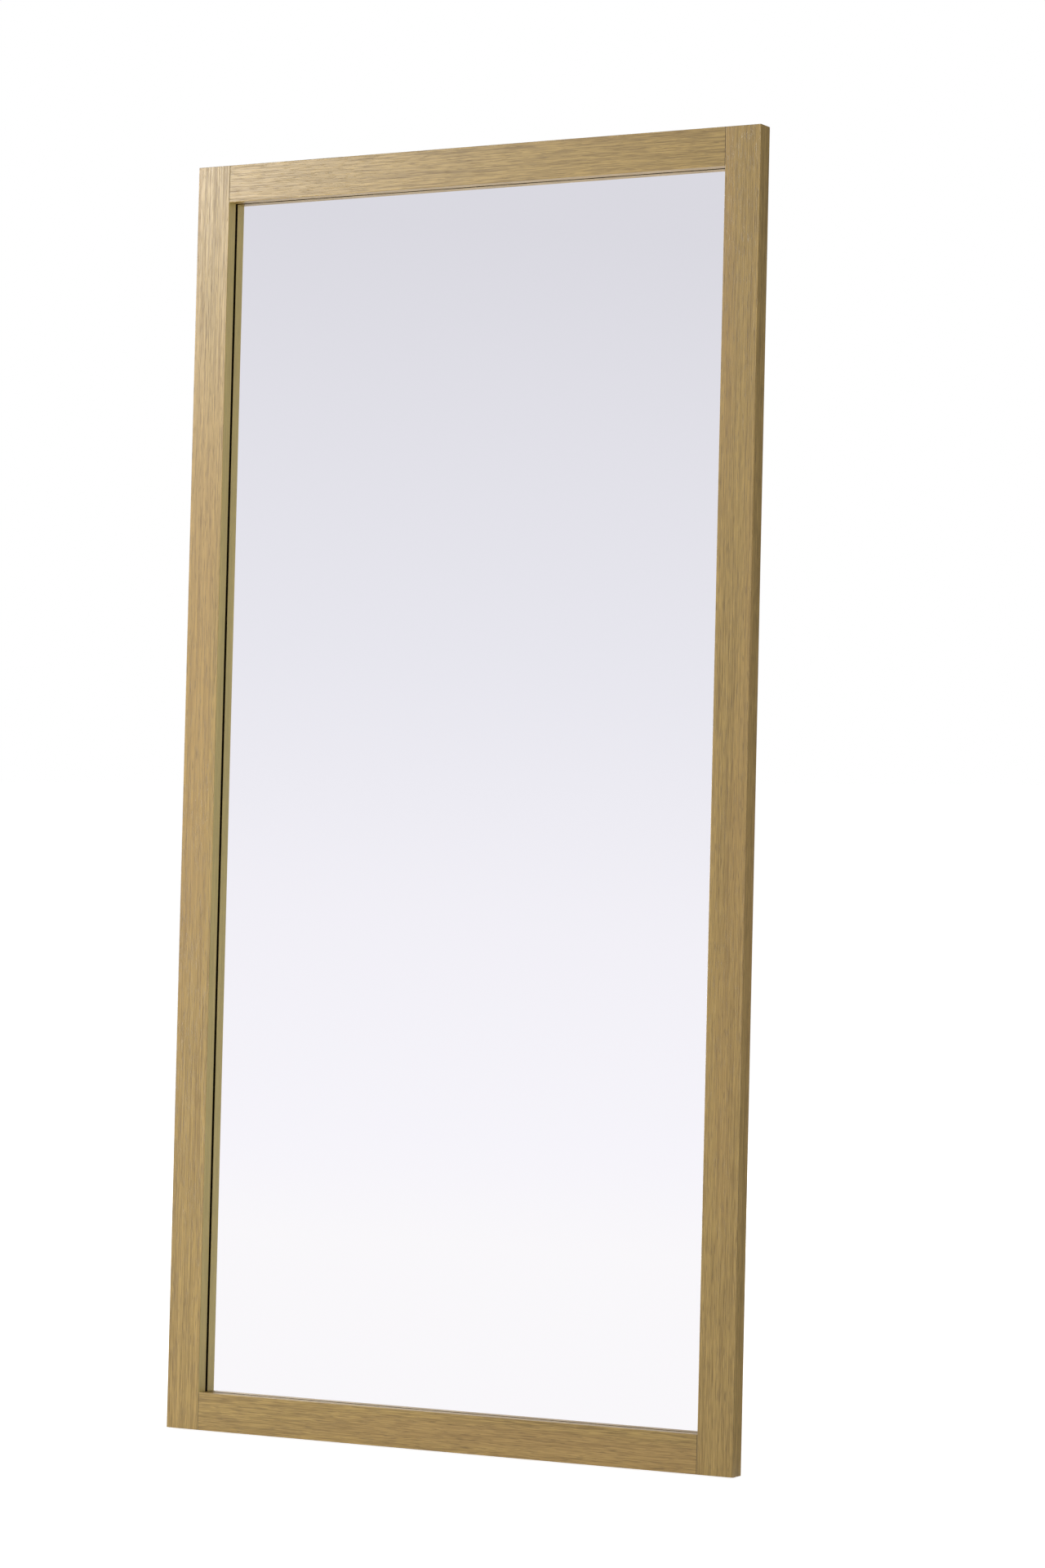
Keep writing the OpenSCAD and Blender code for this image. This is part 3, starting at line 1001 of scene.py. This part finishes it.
@dataclass
class BackHardware:
    """Battens, brackets, bolts, hangers and screws on the panel's back. Sizes in millimetres."""

    panel: Panel
    oak: Oak
    bolt_radius: float = 4.0
    bolt_tail: float = 2.0
    thread_start: float = 1.2
    thread_end: float = 16.0
    thread_pitch: float = 1.25
    head_radius: float = 7.0
    head_thick: float = 2.5
    socket: float = 2.5
    nut_flat: float = 6.5
    nut_thick: float = 6.0
    washer_bore: float = 4.04
    washer_radius: float = 8.0
    washer_thick: float = 2.0
    buffer_radius: float = 6.0
    pad_width: float = 40.0
    pad_slack: float = 0.05

    def make_bolts(self) -> Piece:
        """Makes the hinge bolts: threaded ends and domed heads with hexagon sockets.

        Returns:
            The pair as one piece.
        """
        outer, nut = (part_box(node)[1].x for node in ("hinge_bolts", "hinge_nuts"))
        length = (outer - nut) / MM + self.nut_thick + self.bolt_tail
        neck = length - self.head_thick
        radius = self.bolt_radius
        head = domed_head(self.head_thick, self.head_radius, self.socket, lip=1.1, deep=1.9)
        profile = [
            (0, radius - 1),
            (1, radius),
            *thread(self.thread_start, self.thread_end, radius, self.thread_pitch),
            (self.thread_end + 1, radius),
            (neck, radius),
            *[(neck + along, *rest) for along, *rest in head],
        ]
        return turned_pair("hinge_bolt_pair", "hinge_bolts", profile, length)

    def make_nuts(self) -> Piece:
        """Makes the nuts: hexagons whose corners are turned down at both ends.

        Returns:
            The pair as one piece.
        """
        flat, thick, bore = self.nut_flat, self.nut_thick, self.washer_bore
        end = [(0.3, bore), (0, bore + 0.4), (0, flat - 0.2), (0.15, flat, 0.15), (0.7, flat, 1)]
        profile = end + [(thick - along, *rest) for along, *rest in end[::-1]]
        return turned_pair("hinge_nut_pair", "hinge_nuts", profile, thick, hoop=True)

    def make_buffers(self) -> Piece:
        """Makes the rubber buffers: low domes on the lower batten.

        Returns:
            The pair as one piece.
        """
        low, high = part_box("leg_buffers")
        panel = self.panel
        radius = self.buffer_radius
        thick = ((high.y - low.y) / MM - 2 * radius * math.sin(panel.lean)) / math.cos(panel.lean)
        profile = [(0, radius), *dome(0, thick * 0.35, thick, radius, radius * 0.45)]
        rings = turned(profile)[..., [1, 0, 2]]
        middle = np.array(((high.x - radius * MM), (low.y + high.y) / 2, (low.z + high.z) / 2))
        dot = Shell((rings - (0, thick * MM / 2, 0)) @ panel.axes + middle)
        return skin("buffer_pair", dot, dot.mirrored())

    def make_ring(self, name: str, node: str) -> Piece:
        """Makes a D ring: wire swept round a half ellipse, two small corners and a bar.

        The middle of the wire runs along the bar at height 0, round corners of radius bend,
        and down a half ellipse as wide as the bar and as deep as the CAD ring. At each place a
        circle of the wire's radius stands across the path.

        Args:
            name: the piece's name.
            node: the CAD node that it stands for.

        Returns:
            The piece.
        """
        low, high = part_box(node)
        wire = (high.y - low.y) / 2
        half = (high.x - low.x) / 2 - wire
        drop = (high.z - low.z) - 2 * wire
        bend = 2.5 * MM
        lower = np.linspace(-math.pi, 0, 60, endpoint=False)
        corner = np.linspace(0, math.pi / 2, 14)
        across = np.concatenate([
            half * np.cos(lower), half - bend + bend * np.cos(corner),
            bend - half - bend * np.sin(corner),
        ])
        rise = np.concatenate([
            (drop - bend) * np.sin(lower) - bend, bend * np.sin(corner) - bend,
            bend * np.cos(corner) - bend,
        ])
        path = np.stack([across, 0 * across, rise], axis=1)[:-1]
        ahead = np.roll(path, -1, axis=0) - np.roll(path, 1, axis=0)
        ahead /= np.linalg.norm(ahead, axis=1, keepdims=True)
        out = np.stack([ahead[:, 2], 0 * ahead[:, 0], -ahead[:, 0]], axis=1)
        angle = np.linspace(0, 2 * math.pi, 20, endpoint=False)[None, :, None]
        circle = out[:, None] * np.cos(angle) + np.array([0, 1, 0]) * np.sin(angle)
        rings = path[:, None] + wire * circle
        place = ((low.x + high.x) / 2, (low.y + high.y) / 2, high.z - wire)
        return skin(name, Shell(rings, hoop=True).moved(place))

    def make_pads(self) -> Piece:
        """Makes the thin pads: eased wedges between the floor and the leaning stiles.

        An eased slab of height 1 is stretched upwards at each point to the height of the
        panel's underside there.

        Returns:
            The pair as one piece.
        """
        low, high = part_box("panel_pads")
        panel = self.panel
        width = self.pad_width * MM
        depth = high.y - low.y - 2 * self.pad_slack * MM
        flat = eased_box((width / 2, depth / 2, 0.5 * MM), 0.25 * MM, 2 * MM)
        flat += (high.x - width / 2, (low.y + high.y) / 2, 0)
        top = panel.origin[2] - (flat[..., 1] - panel.origin[1]) * math.tan(panel.lean)
        flat[..., 2] = (flat[..., 2] / MM + 0.5) * top
        return skin("pad_pair", Shell(flat), Shell(flat).mirrored())

    def dress(self) -> None:
        """Makes the turned and bent pieces and dresses the rest."""
        plated = Plated().make("zinc_plate")
        dull, dim = linear(186, 188, 190), linear(140, 143, 148)
        screws = Plated(colour=dull, bloom=dim, roughness=0.36).make("screw_zinc")
        black = PowderCoat().make("black_bracket")
        rubber = Rubber().make("buffer_rubber")
        tan = Rubber(colour=linear(150, 128, 96), rubbed=linear(168, 146, 112)).make("pad_rubber")
        brass = Brass().make("brass_washer")
        for seed, node in ((41.0, "hinge_batten"), (50.1, "stay_batten")):
            dress(node, self.oak.make(f"oak_{node}", Grain.ACROSS, self.panel.lean, seed))
        for place in ("corner", "board", "batten", "bracket", "hanger"):
            dress(f"{place}_screws", screws)
        for node in ("corner_plates", "hanger_straps"):
            dress(node, plated)
        for node in ("pivot_brackets", "slot_brackets"):
            dress(node, black)
        settle(self.make_bolts(), Body.MIRROR, "zinc_steel", plated, "hinge_bolts")
        settle(self.make_nuts(), Body.MIRROR, "zinc_steel", plated, "hinge_nuts")
        thick = self.washer_thick
        profile = washer(self.washer_bore, self.washer_radius, thick)
        washers = turned_pair("hinge_washer_pair", "hinge_washers", profile, thick, hoop=True)
        settle(washers, Body.MIRROR, "brass", brass, "hinge_washers")
        settle(self.make_buffers(), Body.MIRROR, "rubber", rubber, "leg_buffers")
        settle(self.make_pads(), Body.MIRROR, "pad_rubber", tan, "panel_pads")
        wire = Plated(roughness=0.22, ease=0.0).make("ring_zinc")
        for side, body in (("left", Body.LEFT_RING), ("right", Body.RIGHT_RING)):
            node = f"{side}_hanger_ring"
            settle(self.make_ring(f"{side}_d_ring", node), body, "zinc_steel", wire, node)


@dataclass
class EaselLeg:
    """The hinged leg: two uprights, two rails, dowels, feet and the stay's pivots.

    Sizes in millimetres, the slope in radians.
    """

    oak: Oak
    slope: float = math.radians(-6)
    upright: float = 28.0
    foot_ease: float = 0.9
    bolt_radius: float = 3.0
    head_radius: float = 6.0
    head_thick: float = 2.5
    washer_bore: float = 3.04
    washer_radius: float = 8.0
    washer_thick: float = 2.0
    socket: float = 2.0
    arm_run: float = 3.6

    def make_feet(self) -> Piece:
        """Makes the feet: eased rubber blocks that follow the leg's slope.

        Each point of an eased slab is moved back by its height times the slope's tangent.

        Returns:
            The pair as one piece.
        """
        low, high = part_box("leg_feet")
        thick = high.z - low.z
        width = self.upright * MM
        skew = abs(math.tan(self.slope)) * thick
        half = (width / 2, (high.y - low.y - skew) / 2, thick / 2)
        block = eased_box(half, self.foot_ease * MM, 2 * MM)
        block[..., 1] += block[..., 2] * math.tan(self.slope)
        place = (high.x - width / 2, (low.y + high.y) / 2, (low.z + high.z) / 2)
        foot = Shell(block).moved(place)
        return skin("foot_pair", foot, foot.mirrored())

    def make_bolts(self) -> Piece:
        """Makes the stay's pivot bolts: domed heads inside, shanks into the uprights.

        Returns:
            The pair as one piece.
        """
        outer, seat = (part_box(node)[1].x for node in ("stay_bolts", "stay_washers"))
        top, radius = self.head_thick, self.bolt_radius
        length = (outer - seat) / MM + self.washer_thick + top + self.arm_run
        head = domed_head(top, self.head_radius, self.socket, lip=1.0, deep=1.8)
        profile = [
            *[(top - along, *rest) for along, *rest in head[::-1]],
            (top, radius),
            (length - 1, radius),
            (length, radius - 1),
        ]
        return turned_pair("stay_bolt_pair", "stay_bolts", profile, length)

    def dress(self) -> None:
        """Makes the feet, bolts and washers and dresses the timbers."""
        nodes = ("left_leg_upright", "right_leg_upright", "leg_upper_rail", "leg_lower_rail")
        for seed, node in zip((71.0, 76.7, 82.4, 88.1), nodes):
            grain = Grain.UPRIGHT if node.endswith("upright") else Grain.ACROSS
            dress(node, self.oak.make(f"oak_{node}", grain, self.slope, seed))
        dress("leg_dowels", Beech().make("beech_leg_dowels"))
        settle(self.make_feet(), Body.LEG, "rubber", Rubber().make("foot_rubber"), "leg_feet")
        zinc = Plated(ease=0.0).make("stay_bolt_zinc")
        settle(self.make_bolts(), Body.LEG, "zinc_steel", zinc, "stay_bolts")
        thick = self.washer_thick
        profile = washer(self.washer_bore, self.washer_radius, thick)
        washers = turned_pair("stay_washer_pair", "stay_washers", profile, thick, hoop=True)
        brass = Brass().make("brass_stay_washer")
        settle(washers, Body.LEG, "brass", brass, "stay_washers")


@dataclass
class Stay:
    """The steel stay: two arms, the rod between them and its caps. Sizes in millimetres."""

    rod_radius: float = 3.0
    chamfer: float = 0.5
    cap_thick: float = 1.4
    cap_radius: float = 5.0
    cap_bore: float = 3.04

    def make_rod(self) -> Piece:
        """Makes the rod: a bright bar with chamfered ends.

        Returns:
            The piece.
        """
        low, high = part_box("stay_rod")
        length = (high.x - low.x) / MM
        start = [(0, self.rod_radius - self.chamfer), (self.chamfer, self.rod_radius)]
        profile = start + [(length - along, radius) for along, radius in start[::-1]]
        middle = (low + high) / 2
        return skin("bright_rod", Shell(turned(profile)).moved((low.x, middle.y, middle.z)))

    def make_caps(self) -> Piece:
        """Makes the push-on caps: collars with a rounded outer edge on each face of an arm.

        Returns:
            The four caps as one piece.
        """
        low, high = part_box("rod_caps")
        arm, arm_out = (corner.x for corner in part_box("right_stay_arm"))
        middle = (low + high) / 2
        bore, thick, radius = self.cap_bore, self.cap_thick, self.cap_radius
        profile = [
            (0, bore),
            (0, radius - 0.2),
            (0.2, radius),
            *dome(0, 0.5, thick, radius, bore + 0.5),
            (thick, bore),
        ]
        outer = Shell(turned(profile), hoop=True)
        inner = Shell(outer.rings * (-1, 1, 1), hoop=True)
        outer = outer.moved((arm_out, middle.y, middle.z))
        inner = inner.moved((arm, middle.y, middle.z))
        return skin("push_caps", outer, inner, outer.mirrored(), inner.mirrored())

    def dress(self) -> None:
        """Makes the rod and its caps and dresses the arms."""
        black = PowderCoat().make("black_arm")
        for node in ("left_stay_arm", "right_stay_arm"):
            dress(node, black)
        bright = Plated(roughness=0.22, ease=0.0).make("rod_zinc")
        settle(self.make_rod(), Body.STAY, "zinc_steel", bright, "stay_rod")
        settle(self.make_caps(), Body.STAY, "zinc_steel", bright, "rod_caps")


# --- studio


@dataclass(frozen=True)
class ViewPoint:
    """Where the camera stands: round the panel's middle, a little above it and barely rolled."""

    azimuth: float = math.radians(29.55)
    elevation: float = math.radians(1.44)
    roll: float = math.radians(-0.63)
    distance: float = 5.7604
    aim_right: float = 88.4 * MM
    aim_up: float = 15.2 * MM
    lens: float = 101.6

    def make(self, centre: np.ndarray) -> None:
        """Creates the camera and makes it the scene's.

        Args:
            centre: the middle of the panel's front face.
        """
        ahead = Vector(
            (
                -math.sin(self.azimuth) * math.cos(self.elevation),
                math.cos(self.azimuth) * math.cos(self.elevation),
                -math.sin(self.elevation),
            )
        )
        level = Vector((math.cos(self.azimuth), math.sin(self.azimuth), 0))
        above = level.cross(ahead)
        right = level * math.cos(self.roll) + above * math.sin(self.roll)
        up = above * math.cos(self.roll) - level * math.sin(self.roll)
        aim = Vector(centre) + right * self.aim_right + up * self.aim_up
        data = bpy.data.cameras.new("camera")
        data.lens = self.lens
        data.sensor_width = 36
        data.clip_end = 100
        camera = linked("camera", data)
        turned = Matrix((right, up, -ahead)).transposed().to_4x4()
        camera.matrix_world = Matrix.Translation(aim - ahead * self.distance) @ turned
        bpy.context.scene.camera = camera


@dataclass(frozen=True)
class Softbox:
    """A rectangular studio light."""

    name: str
    place: tuple[float, float, float]
    aim: tuple[float, float, float]
    size: tuple[float, float]
    power: float
    colour: Colour = (1.0, 1.0, 1.0)

    def make(self) -> None:
        """Creates the light, facing its aim."""
        data = bpy.data.lights.new(self.name, "AREA")
        data.shape = "RECTANGLE"
        data.size, data.size_y = self.size
        data.energy = self.power
        data.color = self.colour
        light = linked(self.name, data)
        light.location = self.place
        ahead = Vector(self.aim) - Vector(self.place)
        light.rotation_euler = ahead.to_track_quat("-Z", "Y").to_euler()


@dataclass
class Studio:
    """The pale floor, the bright surroundings, the lights and the camera."""

    panel: Panel
    floor_size: float = 30.0
    floor_light: float = 0.16
    glow: float = 0.74
    ambient: Colour = (0.2, 0.2, 0.21)
    dim: Colour = (0.22, 0.22, 0.23)
    sky: tuple[tuple[float, Colour], ...] = (
        (-90.0, linear(255, 252, 255)),
        (-0.4, linear(255, 252, 255)),
        (0.7, linear(252, 249, 255)),
        (3.8, linear(247, 244, 251)),
        (7.0, linear(237, 235, 243)),
        (10.1, linear(230, 228, 236)),
        (12.7, linear(223, 221, 229)),
        (30.0, linear(214, 214, 222)),
        (90.0, linear(205, 205, 213)),
    )
    lights: tuple[Softbox, ...] = (
        Softbox("key", (-3.5, -1.45, 0.7), (-0.2, 0.0, 0.7), size=(1.4, 1.2), power=68),
        Softbox("sheen", (-2.5, -2.35, 2.6), (-0.3, 0.0, 1.3), size=(0.5, 0.5), power=58),
        Softbox("fill", (3.5, -1.1, 0.5), (0.0, 0.0, 0.7), size=(1.4, 1.4), power=27),
        Softbox("back", (-1.7, 2.8, 2.4), (0.0, 0.0, 0.8), size=(2.0, 1.6), power=90),
    )

    def make_floor(self) -> None:
        """Lays a pale floor that runs out of sight."""
        far = self.floor_size
        corners = [(-far, -far, 0.0), (far, -far, 0.0), (far, far, 0.0), (-far, far, 0.0)]
        mesh = bpy.data.meshes.new("floor")
        mesh.from_pydata(corners, [], [(0, 1, 2, 3)])
        floor = linked("floor", mesh)
        graph = Graph("pale_floor")
        path = graph.add("LightPath")
        mirrored = path.outputs["Is Glossy Ray"]
        depth = graph.part(graph.coordinates(), "Y")
        full, low = 1 - self.floor_light, self.dim[0] - self.floor_light
        reflected = graph.maths("MULTIPLY", mirrored, graph.fade(depth, -0.4, 0.1, full, low))
        seen = graph.maths("MULTIPLY", path.outputs["Is Camera Ray"], self.glow)
        light = graph.maths("ADD", graph.maths("ADD", seen, reflected), self.floor_light)
        white, grey, black = ((level,) * 3 for level in (1.0, 0.5, 0.0))
        graph.set(
            Base_Color=graph.blend(mirrored, grey, black),
            Roughness=0.9,
            Specular_IOR_Level=0.0,
            Emission_Color=graph.blend(mirrored, white, self.sky[0][1]),
            Emission_Strength=light,
        )
        mesh.materials.append(graph.material)

    def make_surroundings(self) -> None:
        """Sets the world: white behind the mirror, a soft fade towards the top in front of it.

        The mirror's face looks towards -y, so rays that go there see the sky's colours by their
        rise above the horizon in degrees. Towards +y the camera sees white and reflections see
        a dim grey. Diffuse light is dimmer still, so that the softboxes model the timber.
        """
        world = bpy.data.worlds.new("surroundings")
        bpy.context.scene.world = world
        nodes = Nodes(world)
        direction = nodes.add("TexCoord").outputs["Generated"]
        path = nodes.add("LightPath")
        height = nodes.maths("MULTIPLY", nodes.part(direction, "Z"), 0.5)
        rise = nodes.add("ValToRGB", Fac=nodes.maths("ADD", height, 0.5))
        ramp = rise.color_ramp
        ramp.elements.remove(ramp.elements[1])
        for index, (degrees, colour) in enumerate(self.sky):
            spot = 0.5 + 0.5 * math.sin(math.radians(degrees))
            stop = ramp.elements.new(spot) if index else ramp.elements[0]
            stop.position, stop.color = spot, rgba(colour)
        behind = nodes.blend(path.outputs["Is Camera Ray"], self.dim, (1.0, 1.0, 1.0))
        side = nodes.fade(nodes.part(direction, "Y"), -0.1, 0.1)
        seen = nodes.blend(side, rise.outputs["Color"], behind)
        lit = nodes.blend(path.outputs["Is Diffuse Ray"], seen, self.ambient)
        background = nodes.add("Background", Color=lit)
        nodes.add("OutputWorld", Surface=background.outputs[0])

    def make(self) -> None:
        """Builds the whole studio."""
        bpy.context.scene.view_settings.view_transform = "Standard"
        ViewPoint().make(self.panel.centre())
        self.make_floor()
        self.make_surroundings()
        for softbox in self.lights:
            softbox.make()


def main() -> None:
    """Builds the studio, then every sub-assembly in order."""
    logging.basicConfig(level=logging.INFO, format="%(message)s")
    panel = Panel()
    Studio(panel).make()
    Frame(panel).dress()
    Mirror(panel).dress()
    back_oak = Oak(light=linear(196, 160, 100), dark=linear(150, 116, 62), roughness=0.5, gloss=0.4)
    BackHardware(panel, back_oak).dress()
    EaselLeg(back_oak).dress()
    Stay().dress()


if __name__ == "__main__":
    main()
